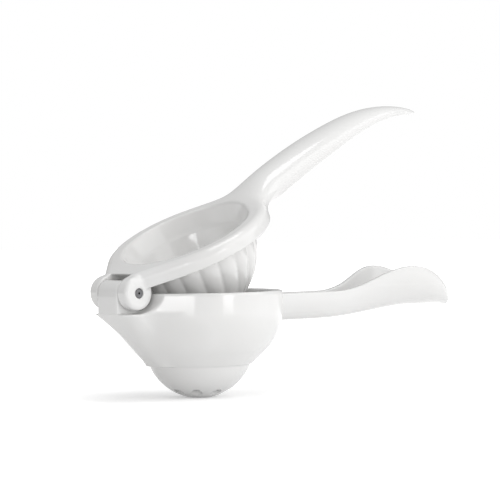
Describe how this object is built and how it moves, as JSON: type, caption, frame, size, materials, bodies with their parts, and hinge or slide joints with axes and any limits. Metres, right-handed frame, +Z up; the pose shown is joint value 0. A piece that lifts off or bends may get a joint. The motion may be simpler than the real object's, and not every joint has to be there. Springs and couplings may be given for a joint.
{
  "type": "hinged lemon squeezer",
  "caption": "Hand-held citrus press: a fluted cup on a curved handle swings down into a drained bowl with a scooped, winged lower handle.",
  "frame": {"origin": "centre of the small flat under the bowl's dome, on the surface the squeezer stands on", "axes": "+Z up along the bowl's axis, +X from the hinge towards the handles' tips, +Y along the hinge pin"},
  "size_m": [0.2267, 0.0848, 0.1473],
  "materials": {
    "white_plastic": "high-gloss moulded white",
    "pin_steel": "rolled spring steel"
  },
  "bodies": {
    "lower": {"bowl_and_lower_handle": "white_plastic"},
    "press": {"press_cup_and_upper_handle": "white_plastic", "hinge_pin": "pin_steel"}
  },
  "joints": [
    {"name": "press_hinge", "type": "hinge", "parent": "lower", "child": "press", "pos_m": [-0.0486, 0, 0.0536], "axis": [0, -1, 0], "range_deg": [-25.4, 90]}
  ]
}
